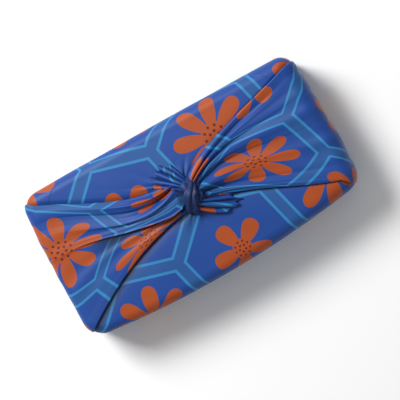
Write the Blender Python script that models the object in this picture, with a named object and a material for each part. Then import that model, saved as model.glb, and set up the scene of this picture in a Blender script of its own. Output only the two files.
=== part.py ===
"""Furoshiki wrap: one square of cloth folded round an oblong box form and tied on top.

Metres, +Z up. The origin is the middle of the flat underside. +X runs along the parcel towards the end
with the wide pleated flap, and +Y towards the plain long side that the two folded edges rise to.
The cloth and what it holds are one filled form: a rounded body whose top is laid out in four flaps that
meet at the knot, and strands of gathered cloth that make the knot. All the tables are in millimetres.
"""

import math

import bmesh
import bpy
import numpy as np

MM = 0.001

# Driving dimensions of the wrapped form
TOP = 50.0  # height of the flat top
KNOT = np.array([0.5, 2.5])  # where the four flaps meet, seen from above
COLUMNS = 150  # sections round the body
CORNER_SHARE = 22.0  # length that each radian of a corner counts for when sections are shared out
NORMAL_REACH = 3  # outline points to each side that the outward direction is taken over

CORNERS = (
    # corner, x, y, radius, bow of the next side, softness of the top edge
    ("back left", -126.5, 66.8, 13.0, 0.8, 8.0),
    ("front left", -129.5, -65.0, 17.0, 7.2, 8.0),
    ("front right", 129.0, -56.0, 14.0, 1.4, 11.0),
    ("back right", 125.0, 67.8, 11.0, 0.4, 10.0),
)

# The lines from the knot to the rim, in order round the parcel. Each leaves the knot's foot at one point and
# runs towards another. Near and far bow are how far it strays to its left in the inner and the outer half.
# The heights stand above the flat top, at the shares of the way out in HEIGHT_PLACES.
FOLDS = (
    # fold, from x, y, towards x, y, near bow, far bow, four heights from the knot to the rim
    ("back flap beside the left flap", -7.0, 19.5, -122.0, 65.5, 6.8, 0.8, 2.5, 0.9, 0.4, 0.1),
    ("left flap, upper edge", -8.2, 18.6, -125.8, 62.0, 7.2, 0.8, 6.5, 4.6, 3.0, 1.6),
    ("left bundle, upper ridge", -8.8, 17.4, -127.2, 52.0, 9.0, 0.0, 11.0, 9.8, 4.2, 1.8),
    ("left bundle, groove", -9.2, 16.0, -127.5, 43.0, 12.0, -2.0, 7.5, 6.6, 2.6, 1.4),
    ("left bundle, middle ridge", -9.5, 13.0, -127.5, 32.0, 12.0, 0.5, 11.5, 11.5, 4.6, 1.9),
    ("left bundle, lower swell", -10.0, 6.0, -127.9, 21.0, 6.5, -1.0, 12.0, 11.0, 4.2, 1.8),
    ("left bundle, lip of the pleat", -10.0, -2.5, -128.1, 11.0, 2.2, -3.5, 9.0, 8.4, 3.8, 1.8),
    ("left flap, mouth of the pleat", -9.6, -4.2, -128.2, 8.0, 2.6, -3.5, 2.2, 1.8, 1.2, 1.5),
    ("left flap, flat corner", -9.2, -5.3, -129.0, -25.0, -2.0, -5.0, 3.0, 2.6, 2.1, 1.6),
    ("left flap, lower edge", -8.8, -6.3, -125.5, -56.5, -5.0, -3.5, 3.4, 3.0, 2.5, 1.6),
    ("front flap beside the left flap", -8.0, -7.8, -123.4, -58.8, -5.0, -3.5, 0.8, 0.3, 0.1, 0.0),
    ("front flap, left swell", -4.0, -10.0, -62.0, -68.0, 0.0, 0.0, 1.6, 1.3, 1.2, 0.3),
    ("front flap, middle", 0.0, -11.5, 0.0, -68.0, 0.0, 0.0, 1.0, 0.8, 0.8, 0.3),
    ("front flap, right swell", 4.0, -10.0, 66.0, -65.0, 1.0, 0.0, 1.6, 1.4, 1.3, 0.3),
    ("front flap beside the right flap", 7.2, -5.9, 119.5, -52.3, 4.0, -1.0, 0.8, 0.3, 0.1, 0.0),
    ("right flap, lower edge", 8.2, -4.2, 122.0, -49.5, 4.0, -1.0, 3.8, 3.4, 2.8, 1.6),
    ("right flap, lower roll", 9.2, -1.8, 126.8, -41.0, 3.6, -1.0, 7.0, 5.6, 3.8, 2.0),
    ("right flap, lower crease", 10.0, 0.8, 128.3, -32.0, 3.2, -1.0, 4.0, 2.6, 1.4, 1.3),
    ("right bundle, lower ridge", 10.5, 4.2, 128.5, -12.0, 4.2, 0.5, 11.0, 9.5, 4.8, 2.2),
    ("right bundle, groove", 10.7, 7.6, 128.2, 6.0, 7.2, 0.0, 7.5, 6.0, 2.2, 1.4),
    ("right flap, middle ridge", 10.6, 9.4, 127.6, 20.0, 7.6, 0.0, 9.5, 8.0, 4.0, 2.0),
    ("right flap, upper hollow", 10.4, 10.8, 127.0, 32.0, 6.6, 0.0, 9.8, 7.6, 2.6, 1.4),
    ("right bundle, upper ridge", 10.1, 12.2, 126.4, 44.0, 5.2, 0.0, 12.0, 10.5, 4.8, 2.2),
    ("right flap, groove of the rolled edge", 9.7, 13.4, 125.5, 51.0, 4.9, 0.3, 10.0, 8.0, 3.2, 1.8),
    ("right flap, rolled upper edge", 9.2, 14.4, 123.0, 58.5, 4.6, 0.5, 11.5, 9.6, 5.0, 2.5),
    ("back flap beside the right flap", 8.3, 15.6, 120.0, 62.2, 4.6, 0.5, 1.6, 0.7, 0.3, 0.1),
    ("back flap, right swell", 5.0, 17.4, 62.0, 67.5, 2.6, 0.0, 2.4, 1.5, 1.3, 0.3),
    ("back flap, middle", 0.0, 18.9, -4.0, 67.5, 0.0, 0.0, 2.4, 1.6, 1.4, 0.3),
    ("back flap, left swell", -4.0, 19.5, -66.0, 67.0, 3.4, 0.0, 2.4, 1.4, 1.2, 0.3),
)
HEIGHT_PLACES = (0.0, 0.15, 0.4, 1.0)  # the knot's foot, the end of the bundle, the fan and the rim
STRAY_SCALE = 6.75  # a line strays to its full bow where it is a third, or two thirds, of the way out
KNOT_RISE = 11.0  # height of the cloth in the middle of the knot
KNOT_STEPS = 2  # rings of the body inside the knot's foot

GATHERS = (
    # flap, first fold, last fold, how many, height, reach as a share of the way to the rim
    ("back flap", 25, 29, 7, 1.7, 0.62),
    ("front flap", 10, 14, 4, 1.0, 0.42),
)
GATHER_FADE = 1.3  # above 1, a gather sinks faster near the knot than further out

PROFILE = (
    # part of the side, sideways inset as a share of the edge, height, share of the folds that shows
    ("underside rim", 0.62, 0.0, 0.0),
    ("lower edge", 0.30, 0.7, 0.1),
    ("lower edge", 0.09, 2.6, 0.4),
    ("side", 0.02, 6.5, 0.7),
    ("side", -0.04, 17.0, 1.0),
    ("side", -0.04, 30.0, 1.0),
    ("side", 0.02, 40.0, 1.0),
)

# The strands of the knot, in the order in which they are joined to the body
STRANDS = (
    # strand, then its stations: x, y, height above the top, width, thickness, groove, roll in degrees
    (
        "front tail",
        (1.0, -3.0, 8.5, 9.0, 7.0, 0.0, 0.0),
        (8.5, -8.5, 8.6, 13.0, 6.0, 0.4, 16.0),
        (17.5, -14.0, 6.2, 17.0, 5.0, 0.4, 8.0),
        (27.0, -19.0, 4.0, 17.0, 4.0, 0.3, 4.0),
        (37.0, -23.0, 1.8, 12.0, 3.0, 0.1, 0.0),
    ),
    (
        "back tail",
        (3.5, 9.0, 8.5, 9.0, 7.0, 0.0, 0.0),
        (-3.0, 17.5, 8.8, 13.0, 6.5, 0.4, -16.0),
        (-9.5, 25.0, 6.0, 18.0, 5.0, 0.4, -10.0),
        (-16.5, 31.5, 3.7, 20.0, 4.0, 0.3, -4.0),
        (-24.0, 37.0, 1.7, 14.0, 3.0, 0.1, 0.0),
    ),
    (
        "core of the knot",
        (6.2, 16.5, 0.5, 10.0, 6.0, 0.0, 0.0),
        (4.9, 11.5, 5.5, 17.0, 13.0, 0.0, 0.0),
        (3.0, 4.8, 7.0, 21.0, 16.0, 0.0, 0.0),
        (1.0, -1.5, 7.0, 20.0, 16.0, 0.0, 0.0),
        (-0.6, -7.0, 4.5, 14.0, 11.0, 0.0, 0.0),
        (-1.6, -11.0, 0.0, 8.0, 4.0, 0.0, 0.0),
    ),
    (
        "band over the knot",
        (7.2, 17.5, 0.5, 11.0, 5.0, 0.0, 0.0),
        (6.3, 13.5, 8.0, 12.0, 6.0, 0.15, 0.0),
        (4.4, 7.5, 14.4, 13.0, 6.5, 0.3, 6.0),
        (1.6, 0.5, 15.4, 13.5, 6.5, 0.3, 6.0),
        (-0.9, -7.5, 9.8, 12.5, 6.0, 0.15, 0.0),
        (-2.0, -12.5, 0.5, 11.0, 5.0, 0.0, 0.0),
    ),
)
STRAND_SIDES = 14
STRAND_STEPS = 13
GROOVE_WIDTH = 0.32  # of a strand's groove, as a share of half the strand's width
TOP_EDGE_STEPS = 5
TOP_STEPS = 13
TOP_CROWDING = 1.15  # above 1, the rings of the top stand closer together near the knot
CROWN = 0.8  # rise of the top at the knot, under the flaps


def outline(step=1.0, arc_steps=8):
    """Points round the parcel at its widest, anticlockwise, with the top edge's softness at each."""
    corner = np.array([row[1:3] for row in CORNERS])
    radius, bow, soft = (np.array([row[k] for row in CORNERS]) for k in (3, 4, 5))
    go = np.roll(corner, -1, axis=0) - corner
    go /= np.linalg.norm(go, axis=1)[:, None]
    come = np.roll(go, 1, axis=0)
    turn = np.arccos((come * go).sum(axis=1))
    trim = radius * np.tan(turn / 2)
    points, softness = [], []
    for i in range(len(CORNERS)):
        far = (i + 1) % len(CORNERS)
        centre = corner[i] - come[i] * trim[i] + radius[i] * np.array([-come[i][1], come[i][0]])
        angle = math.atan2(-come[i][0], come[i][1]) + np.linspace(0, turn[i], arc_steps + 1)
        arc = centre + radius[i] * np.stack([np.cos(angle), np.sin(angle)], axis=1)
        left, right = arc[-1], corner[far] - go[i] * trim[far]
        share = np.linspace(0, 1, int(np.linalg.norm(right - left) / step) + 1)[1:-1, None]
        outward = np.array([go[i][1], -go[i][0]])
        side = left + (right - left) * share + outward * bow[i] * 4 * share * (1 - share)
        points += [arc, side]
        softness += [np.full(len(arc), soft[i]), soft[i] + (soft[far] - soft[i]) * share[:, 0]]
    return np.concatenate(points), np.concatenate(softness)


def rim_of_folds():
    """The sections round the body, shared out so that corners get more: each one's place counted in
    folds, its point on the outline, the outward normal there and the top edge's softness."""
    points, softness = outline()
    ahead = np.roll(points, -1, axis=0) - points
    step = np.linalg.norm(ahead, axis=1)
    along = np.roll(points, -NORMAL_REACH, axis=0) - np.roll(points, NORMAL_REACH, axis=0)
    normal = np.stack([along[:, 1], -along[:, 0]], axis=1)
    normal /= np.linalg.norm(normal, axis=1)[:, None]
    turned = np.roll(normal, -1, axis=0)
    bend = np.abs(normal[:, 0] * turned[:, 1] - normal[:, 1] * turned[:, 0])
    run = np.concatenate([[0], np.cumsum(step)])
    measure = np.concatenate([[0], np.cumsum(step + CORNER_SHARE * bend)])
    toward = np.array([row[3:5] for row in FOLDS])
    nearest = np.linalg.norm(toward[:, None] - points, axis=2).argmin(axis=1)
    fold_run = np.append(run[nearest], run[nearest[0]] + run[-1])
    fold_measure = np.append(measure[nearest], measure[nearest[0]] + measure[-1])
    gap = np.diff(fold_measure)
    count = np.maximum(1, np.round(gap * COLUMNS / gap.sum())).astype(int)
    wanted = np.concatenate([fold_measure[i] + gap[i] * np.arange(n) / n for i, n in enumerate(count)])
    twice_round = np.concatenate([measure[:-1], measure + measure[-1]])
    length = np.interp(wanted, twice_round, np.concatenate([run[:-1], run + run[-1]]))
    place = np.interp(length, fold_run, np.arange(len(fold_run)))

    def at_length(values):
        return np.interp(length, run[:-1], values, period=run[-1])

    rim = np.stack([at_length(points[:, 0]), at_length(points[:, 1])], axis=1)
    outward = np.stack([at_length(normal[:, 0]), at_length(normal[:, 1])], axis=1)
    outward /= np.linalg.norm(outward, axis=1)[:, None]
    return place, rim, outward, at_length(softness)


def between_folds(place, column, eased=True):
    """A column of the fold table at each section, eased or straight between one fold and the next."""
    value = np.array([row[column] for row in FOLDS])
    low = np.floor(place).astype(int) % len(FOLDS)
    share = place - np.floor(place)
    if eased:
        share = share * share * (3 - 2 * share)
    return value[low] * (1 - share) + value[(low + 1) % len(FOLDS)] * share


def fold_height(place, out):
    """Height of the folds above the flat top, for sections at place and shares out of the way to the rim."""
    heights = [between_folds(place, k) for k in (7, 8, 9, 10)]
    height = np.array([np.interp(out, HEIGHT_PLACES, column) for column in np.transpose(heights)])
    for _, first, last, count, rise, reach in GATHERS:
        share = np.clip((place - first) / (last - first), 0, 1)
        fade = np.clip(1 - out / reach, 0, 1) ** GATHER_FADE
        height = height + rise * fade * np.sin(math.pi * share) * np.cos(2 * math.pi * count * share)
    return height


def body_rings():
    """The rings of the body from the underside up the sides, over the top and in under the knot."""
    place, rim, outward, softness = rim_of_folds()
    near, far = between_folds(place, 5), between_folds(place, 6)
    foot = np.stack([between_folds(place, k, eased=False) for k in (1, 2)], axis=1)
    rings = []
    side_fold = fold_height(place, 1.0)
    for _, inset, height, share in PROFILE:
        plan = rim + outward * (side_fold * share - inset * softness)[:, None]
        rings.append(np.column_stack([plan, np.full(len(place), height)]))
    for turn in np.linspace(0, math.pi / 2, TOP_EDGE_STEPS + 1)[1:]:
        across = softness * (1 - math.cos(turn))
        down = softness * (1 - math.sin(turn))
        plan = rim + outward * (side_fold * math.cos(turn) - across)[:, None]
        rings.append(np.column_stack([plan, TOP - down + side_fold * math.sin(turn)]))
    away = rim - outward * softness[:, None] - foot
    left = np.stack([-away[:, 1], away[:, 0]], axis=1) / np.linalg.norm(away, axis=1)[:, None]
    for out in np.linspace(1, 0, TOP_STEPS + 1)[1:] ** TOP_CROWDING:
        stray = STRAY_SCALE * (near * out * (1 - out) ** 2 + far * out**2 * (1 - out))
        plan = foot + away * out + left * stray[:, None]
        crown = CROWN * (1 - out**2)
        rings.append(np.column_stack([plan, TOP + crown + fold_height(place, out)]))
    top = np.append(KNOT, TOP + CROWN + KNOT_RISE)
    foot_ring = rings[-1]
    for share in np.arange(1, KNOT_STEPS) / KNOT_STEPS:
        rings.append(foot_ring + (top - foot_ring) * share)
    return rings


def closed_mesh(name, rings, first, last):
    """A closed mesh from rings of the same length, with a centre point under the first and over the last."""
    count = len(rings[0])
    points = np.concatenate([*rings, [first], [last]]) * MM
    column = np.arange(count)
    after = np.roll(column, -1)
    faces = []
    for r in range(len(rings) - 1):
        low, high = r * count, (r + 1) * count
        faces += np.column_stack([low + column, low + after, high + after, high + column]).tolist()
    bottom, top = len(points) - 2, len(points) - 1
    base = (len(rings) - 1) * count
    faces += np.column_stack([after, column, np.full(count, bottom)]).tolist()
    faces += np.column_stack([base + column, base + after, np.full(count, top)]).tolist()
    mesh = bpy.data.meshes.new(name)
    mesh.from_pydata(points.tolist(), [], faces)
    mesh.validate()
    mesh.shade_smooth()
    return mesh


def smooth_stations(stations, steps):
    """Rows read from a smooth curve through the stations, each column eased like the path."""
    rows = np.array(stations)
    padded = np.vstack([2 * rows[0] - rows[1], rows, 2 * rows[-1] - rows[-2]])
    out = []
    for s in np.linspace(0, len(rows) - 1, steps):
        i = min(int(s), len(rows) - 2)
        t = s - i
        a, b, c, d = padded[i : i + 4]
        square, cube = 2 * a - 5 * b + 4 * c - d, 3 * b - a - 3 * c + d
        out.append(0.5 * (2 * b + (c - a) * t + square * t**2 + cube * t**3))
    return np.array(out)


def strand_rings(stations):
    """Grooved oval sections along a strand: each is wide and flat, with a groove pressed into its top."""
    rows = smooth_stations(stations, STRAND_STEPS)
    path = rows[:, :3] + [0, 0, TOP]
    along = np.gradient(path, axis=0)
    along /= np.linalg.norm(along, axis=1)[:, None]
    side = np.cross(along, [0, 0, 1])
    side /= np.linalg.norm(side, axis=1)[:, None]
    up = np.cross(side, along)
    turn = np.linspace(0, 2 * math.pi, STRAND_SIDES, endpoint=False)
    rings = []
    for centre, s, u, row in zip(path, side, up, rows):
        width, thick, groove, roll = row[3], row[4], max(row[5], 0), math.radians(row[6])
        across = np.cos(turn) * width / 2
        dip = 1 - groove * np.exp(-((np.cos(turn) / GROOVE_WIDTH) ** 2)) * (np.sin(turn) > 0)
        rise = np.sin(turn) * dip * thick / 2
        tilted_across = across * math.cos(roll) - rise * math.sin(roll)
        tilted_rise = across * math.sin(roll) + rise * math.cos(roll)
        rings.append(centre + np.outer(tilted_across, s) + np.outer(tilted_rise, u))
    return rings, path[0], path[-1]


def new_object(name, mesh, collection):
    """An object with this mesh, in this collection, with its faces pointing out."""
    work = bmesh.new()
    work.from_mesh(mesh)
    bmesh.ops.recalc_face_normals(work, faces=work.faces)
    work.to_mesh(mesh)
    work.free()
    made = bpy.data.objects.new(name, mesh)
    collection.objects.link(made)
    return made


def cloth_material():
    """Fine printed cloth with a soft sheen; the ground blue stands for the whole print."""
    material = bpy.data.materials.new("printed_cloth")
    material.use_nodes = True
    shader = material.node_tree.nodes["Principled BSDF"]
    shader.inputs["Base Color"].default_value = (0.024, 0.078, 0.37, 1)
    shader.inputs["Roughness"].default_value = 0.62
    shader.inputs["Metallic"].default_value = 0.0
    return material


def build():
    """Clears the scene, then makes the body and joins the strands of the knot to it."""
    for old in list(bpy.data.objects):
        bpy.data.objects.remove(old)
    parts = bpy.data.collections.new("furoshiki_wrap")
    cutters = bpy.data.collections.new("strands_to_join")
    for collection in (parts, cutters):
        bpy.context.scene.collection.children.link(collection)
    under = (KNOT[0], KNOT[1], 0.0)
    over = (KNOT[0], KNOT[1], TOP + CROWN + KNOT_RISE)
    cloth = new_object("wrap_cloth", closed_mesh("wrap_cloth", body_rings(), under, over), parts)
    cloth.data.materials.append(cloth_material())
    for name, *stations in STRANDS:
        label = name.replace(" ", "_")
        strand = new_object(label, closed_mesh(label, *strand_rings(stations)), cutters)
        strand.hide_render = True
        strand.display_type = "WIRE"
        join = cloth.modifiers.new(f"join {name}", "BOOLEAN")
        join.operation = "UNION"
        join.solver = "EXACT"
        join.object = strand


build()
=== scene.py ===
import math

import bmesh
import bpy
import numpy as np
from mathutils import Matrix, Vector


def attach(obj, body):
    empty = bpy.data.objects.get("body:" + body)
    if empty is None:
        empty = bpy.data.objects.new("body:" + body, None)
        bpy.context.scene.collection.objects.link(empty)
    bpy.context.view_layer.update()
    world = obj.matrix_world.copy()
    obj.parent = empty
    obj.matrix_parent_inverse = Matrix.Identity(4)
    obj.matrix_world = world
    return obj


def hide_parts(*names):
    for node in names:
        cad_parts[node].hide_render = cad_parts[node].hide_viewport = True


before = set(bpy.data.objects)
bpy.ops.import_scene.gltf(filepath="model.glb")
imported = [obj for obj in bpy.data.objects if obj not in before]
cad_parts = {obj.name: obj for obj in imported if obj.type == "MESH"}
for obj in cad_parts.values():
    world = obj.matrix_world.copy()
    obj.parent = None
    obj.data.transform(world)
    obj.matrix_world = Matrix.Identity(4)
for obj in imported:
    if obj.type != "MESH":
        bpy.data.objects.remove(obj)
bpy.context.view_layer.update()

# The form under the folds
#
# The real wrap is one 500 mm square of fine printed cloth, drawn tight round an oblong box. This section
# holds the rounded form that every layer of the cloth lies on, in millimetres. "Place" counts the folds
# round the parcel, and "way" runs from the knot over the top and down the side to the underside.
MM = 0.001
TOP = 50.0  # height of the flat top
KNOT = np.array([0.5, 2.5])  # where the four flaps meet, seen from above
LOW_EDGE = 6.0  # radius of the edge that lies on the table
CROWN = 0.8  # rise of the top at the knot
SIDE_SWELL = 0.4  # how far the middle of a side stands out
HALF_LENGTH, HALF_WIDTH = 129.0, 67.0  # of the parcel
ARC_POINTS, SIDE_POINTS = 40, 400  # on each corner and each side of the rim
NORMAL_REACH = 6  # rim points to each side over which the rim's direction is taken

BODY_CORNERS = (
    # corner, x, y, radius, bow of the next side, softness of the top edge
    ("back left", -126.5, 66.8, 13.0, 0.8, 8.0),
    ("front left", -129.5, -65.0, 17.0, 7.2, 8.0),
    ("front right", 129.0, -56.0, 14.0, 1.4, 11.0),
    ("back right", 125.0, 67.8, 11.0, 0.4, 10.0),
)

# Each fold leaves the knot's foot at one point and runs towards another. A sharp fold is a crease and
# the others are rounded. Near and far bow are how far it strays to its left in the inner and outer half.
FOLDS = (
    # fold, sharp, from x, y, towards x, y, near bow, far bow, four heights from the knot to the rim
    ("back flap beside the left flap", 1, -7.0, 19.5, -122.0, 65.5, 6.8, 0.8, 2.5, 0.9, 0.4, 0.1),
    ("left flap, upper edge", 0, -8.2, 18.6, -125.8, 62.0, 7.2, 0.8, 6.5, 4.6, 3.0, 1.6),
    ("left bundle, upper ridge", 0, -8.8, 17.4, -127.2, 52.0, 9.0, 0.0, 11.0, 9.8, 4.2, 1.8),
    ("left bundle, groove", 1, -9.2, 16.0, -127.5, 43.0, 12.0, -2.0, 5.2, 4.6, 1.8, 1.3),
    ("left bundle, middle ridge", 0, -9.5, 13.0, -127.5, 32.0, 12.0, 0.5, 12.0, 12.0, 4.8, 1.9),
    ("left bundle, lower swell", 0, -10.0, 6.0, -127.9, 21.0, 6.5, -1.0, 10.2, 9.2, 3.5, 1.6),
    ("left bundle, lip of the pleat", 0, -10.0, -2.5, -128.1, 11.0, 2.2, -3.5, 9.0, 8.4, 4.0, 1.9),
    ("left flap, mouth of the pleat", 1, -9.6, -4.2, -128.2, 8.0, 2.6, -3.5, 1.6, 1.4, 1.0, 1.7),
    ("left flap, flat corner", 0, -9.2, -5.3, -129.0, -25.0, -2.0, -5.0, 3.0, 2.6, 2.1, 1.6),
    ("left flap, lower edge", 0, -8.8, -6.3, -125.5, -56.5, -5.0, -3.5, 3.6, 3.2, 2.7, 1.6),
    ("front flap beside the left flap", 1, -8.0, -7.8, -123.4, -58.8, -5.0, -3.5, 0.8, 0.3, 0.1, 0.0),
    ("front flap, left swell", 0, -4.0, -10.0, -62.0, -68.0, 0.0, 0.0, 1.6, 1.3, 1.2, 0.3),
    ("front flap, middle", 0, 0.0, -11.5, 0.0, -68.0, 0.0, 0.0, 1.0, 0.8, 0.8, 0.3),
    ("front flap, right swell", 0, 4.0, -10.0, 66.0, -65.0, 1.0, 0.0, 1.6, 1.4, 1.3, 0.3),
    ("front flap beside the right flap", 1, 7.2, -5.9, 119.5, -52.3, 4.0, -1.0, 0.8, 0.3, 0.1, 0.0),
    ("right flap, lower edge", 0, 8.2, -4.2, 122.0, -49.5, 4.0, -1.0, 4.0, 3.6, 2.9, 1.6),
    ("right flap, lower roll", 0, 9.2, -1.8, 126.8, -41.0, 3.6, -1.0, 7.0, 5.6, 3.8, 2.0),
    ("right flap, lower crease", 1, 10.0, 0.8, 128.3, -32.0, 3.2, -1.0, 3.6, 2.2, 1.1, 1.3),
    ("right bundle, lower ridge", 0, 10.5, 4.2, 128.5, -12.0, 4.2, 0.5, 11.0, 9.5, 4.8, 2.2),
    ("right bundle, groove", 1, 10.7, 7.6, 128.2, 6.0, 7.2, 0.0, 5.2, 3.9, 1.4, 1.3),
    ("right flap, middle ridge", 0, 10.6, 9.4, 127.6, 20.0, 7.6, 0.0, 9.5, 8.0, 4.0, 2.0),
    ("right flap, upper hollow", 1, 10.4, 10.8, 127.0, 32.0, 6.6, 0.0, 6.8, 4.8, 1.6, 1.4),
    ("right bundle, upper ridge", 0, 10.1, 12.2, 126.4, 44.0, 5.2, 0.0, 12.0, 10.5, 4.8, 2.2),
    ("right flap, groove of the rolled edge", 1, 9.7, 13.4, 125.5, 51.0, 4.9, 0.3, 8.0, 6.2, 2.4, 1.5),
    ("right flap, rolled upper edge", 0, 9.2, 14.4, 123.0, 58.5, 4.6, 0.5, 11.5, 9.6, 5.0, 2.5),
    ("back flap beside the right flap", 1, 8.3, 15.6, 120.0, 62.2, 4.6, 0.5, 1.6, 0.7, 0.3, 0.1),
    ("back flap, right swell", 0, 5.0, 17.4, 62.0, 67.5, 2.6, 0.0, 2.4, 1.5, 1.3, 0.3),
    ("back flap, middle", 0, 0.0, 18.9, -4.0, 67.5, 0.0, 0.0, 2.4, 1.6, 1.4, 0.3),
    ("back flap, left swell", 0, -4.0, 19.5, -66.0, 67.0, 3.4, 0.0, 2.4, 1.4, 1.2, 0.3),
)
HEIGHT_PLACES = (0.0, 0.15, 0.4, 1.0)  # shares of the way out at which the four heights stand
HEIGHT_ROUNDING = 0.07  # share of the way over which a change of height is rounded
KNOT_RISE = 11.0  # height of the cloth in the middle of the knot
STRAY_SCALE = 6.75  # brings a line to its full bow a third, or two thirds, of the way out
LEFT_FLAP, RIGHT_FLAP = (1, 9), (15, 24)  # first and last fold of each end flap
fold_count = len(FOLDS)


def unit(vectors):
    """The vectors brought to length 1."""
    return vectors / np.maximum(np.linalg.norm(vectors, axis=-1), 1e-9)[..., None]


def ramp(value, start, stop):
    """0 at the start and before it, 1 at the stop and past it, and straight between the two. The stop may
    be the smaller one."""
    return np.clip((value - start) / (stop - start), 0, 1)


def in_space(plan, height):
    """Plan points or directions with this height as their third coordinate."""
    return np.concatenate([plan, height[..., None]], axis=-1)


def body_outline():
    """Points round the parcel at its widest, anticlockwise, and the top edge's softness at each: an arc at
    each corner, and between two corners a straight line pushed out by a parabola of the side's bow."""
    corner = np.array([row[1:3] for row in BODY_CORNERS])
    radius, bow, soft = (np.array([row[k] for row in BODY_CORNERS]) for k in (3, 4, 5))
    go = unit(np.roll(corner, -1, axis=0) - corner)
    come = np.roll(go, 1, axis=0)
    turn = np.arccos((come * go).sum(axis=1))
    trim = radius * np.tan(turn / 2)
    points, softness = [], []
    for i in range(len(BODY_CORNERS)):
        far = (i + 1) % len(BODY_CORNERS)
        centre = corner[i] - come[i] * trim[i] + radius[i] * np.array([-come[i][1], come[i][0]])
        angle = math.atan2(-come[i][0], come[i][1]) + np.linspace(0, turn[i], ARC_POINTS)
        arc = centre + radius[i] * np.stack([np.cos(angle), np.sin(angle)], axis=1)
        share = np.linspace(0, 1, SIDE_POINTS)[1:-1, None]
        outward = np.array([go[i][1], -go[i][0]])
        side = arc[-1] + (corner[far] - go[i] * trim[far] - arc[-1]) * share
        points += [arc, side + outward * bow[i] * 4 * share * (1 - share)]
        softness += [np.full(len(arc), soft[i]), soft[i] + (soft[far] - soft[i]) * share[:, 0]]
    return np.concatenate(points), np.concatenate(softness)


rim_points, rim_softness = body_outline()
rim_along = np.roll(rim_points, -NORMAL_REACH, axis=0) - np.roll(rim_points, NORMAL_REACH, axis=0)
rim_normal = unit(np.stack([rim_along[:, 1], -rim_along[:, 0]], axis=1))
rim_step = np.linalg.norm(np.roll(rim_points, -1, axis=0) - rim_points, axis=1)
rim_run = np.concatenate([[0], np.cumsum(rim_step)])
fold_toward = np.array([row[4:6] for row in FOLDS])
fold_run = rim_run[np.linalg.norm(fold_toward[:, None] - rim_points, axis=2).argmin(axis=1)]
fold_run = np.append(fold_run, fold_run[0] + rim_run[-1])


def run_at(place):
    """Length round the rim, from its first point, at each place counted in folds."""
    turns = np.floor(place / fold_count)
    return np.interp(place - turns * fold_count, np.arange(fold_count + 1), fold_run)


def rim_at(place):
    """The rim at each place: its point, its outward normal and the softness of the top edge."""
    length = run_at(place)

    def read(values):
        return np.interp(length, rim_run[:-1], values, period=rim_run[-1])

    point = np.stack([read(rim_points[:, 0]), read(rim_points[:, 1])], axis=-1)
    outward = np.stack([read(rim_normal[:, 0]), read(rim_normal[:, 1])], axis=-1)
    return point, unit(outward), read(rim_softness)


def between_folds(place, column, shaped=True, table=FOLDS):
    """A column of the fold table at each place. Shaped, it leaves a sharp fold steeply and a rounded one
    level: a quarter sine between the two kinds, and a smooth step between two rounded folds. Otherwise it
    runs straight between the folds."""
    value = np.array([row[column] for row in table], float)
    sharp = np.array([row[1] for row in table], bool)
    low = np.floor(place).astype(int) % len(table)
    high = (low + 1) % len(table)
    share = place - np.floor(place)
    if shaped:
        smooth = share * share * (3 - 2 * share)
        rising, falling = np.sin(share * math.pi / 2), 1 - np.cos(share * math.pi / 2)
        up_from_crease, down_to_crease = sharp[low] & ~sharp[high], ~sharp[low] & sharp[high]
        share = np.where(up_from_crease, rising, np.where(down_to_crease, falling, smooth))
    return value[low] * (1 - share) + value[high] * share


def fold_height(place, way, table=FOLDS):
    """Height above the flat top: the four heights of the folds, joined by straight stretches whose
    corners are rounded by an average over a short part of the way, and the knot's rise inside its foot."""
    out = np.clip(way, 0, 1)
    total = 0.0
    for column in range(4):
        peak = np.zeros(4)
        peak[column] = 1.0
        spread = np.linspace(-HEIGHT_ROUNDING, HEIGHT_ROUNDING, 7)
        weight = np.mean([np.interp(np.abs(out + off), HEIGHT_PLACES, peak) for off in spread], axis=0)
        total = total + weight * between_folds(place, 8 + column, table=table)
    inside = np.clip(-way, 0, 1)
    return total * (1 - inside) + KNOT_RISE * inside


def on_the_form(place, way, lift):
    """Points of the form at these places and ways, lifted off it. The way is -1 in the middle of the
    knot, 0 at its foot, 1 where the top begins to turn down, 2 where the side is upright, 3 where it turns
    under, 4 where the underside begins and 5 in its middle. The two turns are quarter circles, and a line
    over the top strays from a straight one by a cubic of its near and far bow."""
    rim, outward, soft = rim_at(place)
    near, far = between_folds(place, 6), between_folds(place, 7)
    foot = np.stack([between_folds(place, k, shaped=False) for k in (2, 3)], axis=-1)
    out = np.clip(way, 0, 1)
    away = rim - outward * soft[..., None] - foot
    left = unit(np.stack([-away[..., 1], away[..., 0]], axis=-1))
    stray = STRAY_SCALE * (near * out * (1 - out) ** 2 + far * out**2 * (1 - out))
    plan = foot + away * out[..., None] + left * stray[..., None]
    plan = plan + (KNOT - plan) * np.clip(-way, 0, 1)[..., None]
    top = in_space(plan, TOP + CROWN * (1 - out**2))

    def beside_rim(out_by, height):
        return in_space(rim + outward * out_by[..., None], height)

    turn = (2 - np.clip(way, 1, 2)) * math.pi / 2
    upper = beside_rim(soft * (np.cos(turn) - 1), TOP - soft * (1 - np.sin(turn)))
    fall = np.clip(way, 2, 3) - 2
    side = beside_rim(SIDE_SWELL * np.sin(math.pi * fall), (TOP - soft) * (1 - fall) + LOW_EDGE * fall)
    low_turn = (np.clip(way, 3, 4) - 3) * math.pi / 2
    lower = beside_rim(LOW_EDGE * (np.cos(low_turn) - 1), LOW_EDGE * (1 - np.sin(low_turn)))
    under = beside_rim(0 * way - LOW_EDGE, 0 * way) * ramp(way, 5, 4)[..., None]
    stage = way[..., None]
    point = np.select([stage <= 1, stage <= 2, stage <= 3, stage <= 4], [top, upper, side, lower], under)
    lean = np.where(way < 2, turn, -low_turn)
    normal = in_space(outward * np.cos(lean)[..., None], np.sin(lean))
    return point + normal * lift[..., None]


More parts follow.
